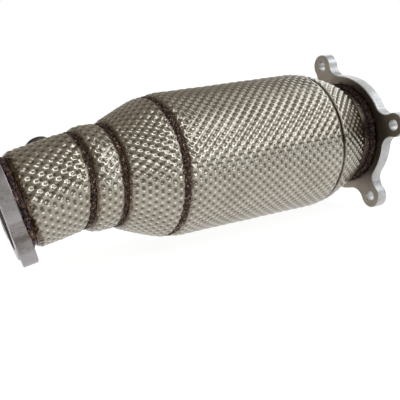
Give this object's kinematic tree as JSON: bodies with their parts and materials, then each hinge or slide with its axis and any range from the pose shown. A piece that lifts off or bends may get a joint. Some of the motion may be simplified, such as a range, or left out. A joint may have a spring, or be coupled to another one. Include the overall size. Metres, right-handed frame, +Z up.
{
  "type": "turbo downpipe",
  "caption": "Turbo downpipe with an embossed heat shield round its catalyst body, a lugged star flange for the turbo and a plain bolted flange for the exhaust.",
  "frame": {"origin": "centre of the turbo flange's gasket face", "axes": "+X along the body's axis, out of the turbo flange; +Z up as the part lies on its lower lugs"},
  "size_m": [0.3874, 0.1695, 0.1557],
  "materials": {
    "machined_steel": "sawn and milled plate, satin",
    "pipe_steel": "stainless pipe, dulled by heat near the welds",
    "foil": "embossed stainless foil, warm grey",
    "blanket": "ceramic fibre",
    "weld": "heat-tinted weld bead, dark brown",
    "honeycomb": "coated metal honeycomb"
  },
  "bodies": {
    "root": {"catalyst_can": "pipe_steel", "catalyst_honeycomb": "honeycomb", "inlet_cone": "pipe_steel", "insulation_body": "blanket", "insulation_collar": "blanket", "insulation_inlet_cone": "blanket", "insulation_outlet_cone": "blanket", "insulation_outlet_pipe": "blanket", "outlet_cone": "pipe_steel", "outlet_flange": "machined_steel", "outlet_pipe": "pipe_steel", "outlet_reducer": "pipe_steel", "sensor_boss": "pipe_steel", "shield_body": "foil", "shield_collar": "foil", "shield_inlet_cone": "foil", "shield_outlet_cone": "foil", "shield_outlet_pipe": "foil", "turbo_flange": "machined_steel", "weld_can_outlet": "weld", "weld_mitre": "weld", "weld_outlet_flange": "weld", "weld_reducer": "weld", "weld_sensor_boss": "weld", "weld_turbo_flange": "weld"}
  },
  "joints": []
}
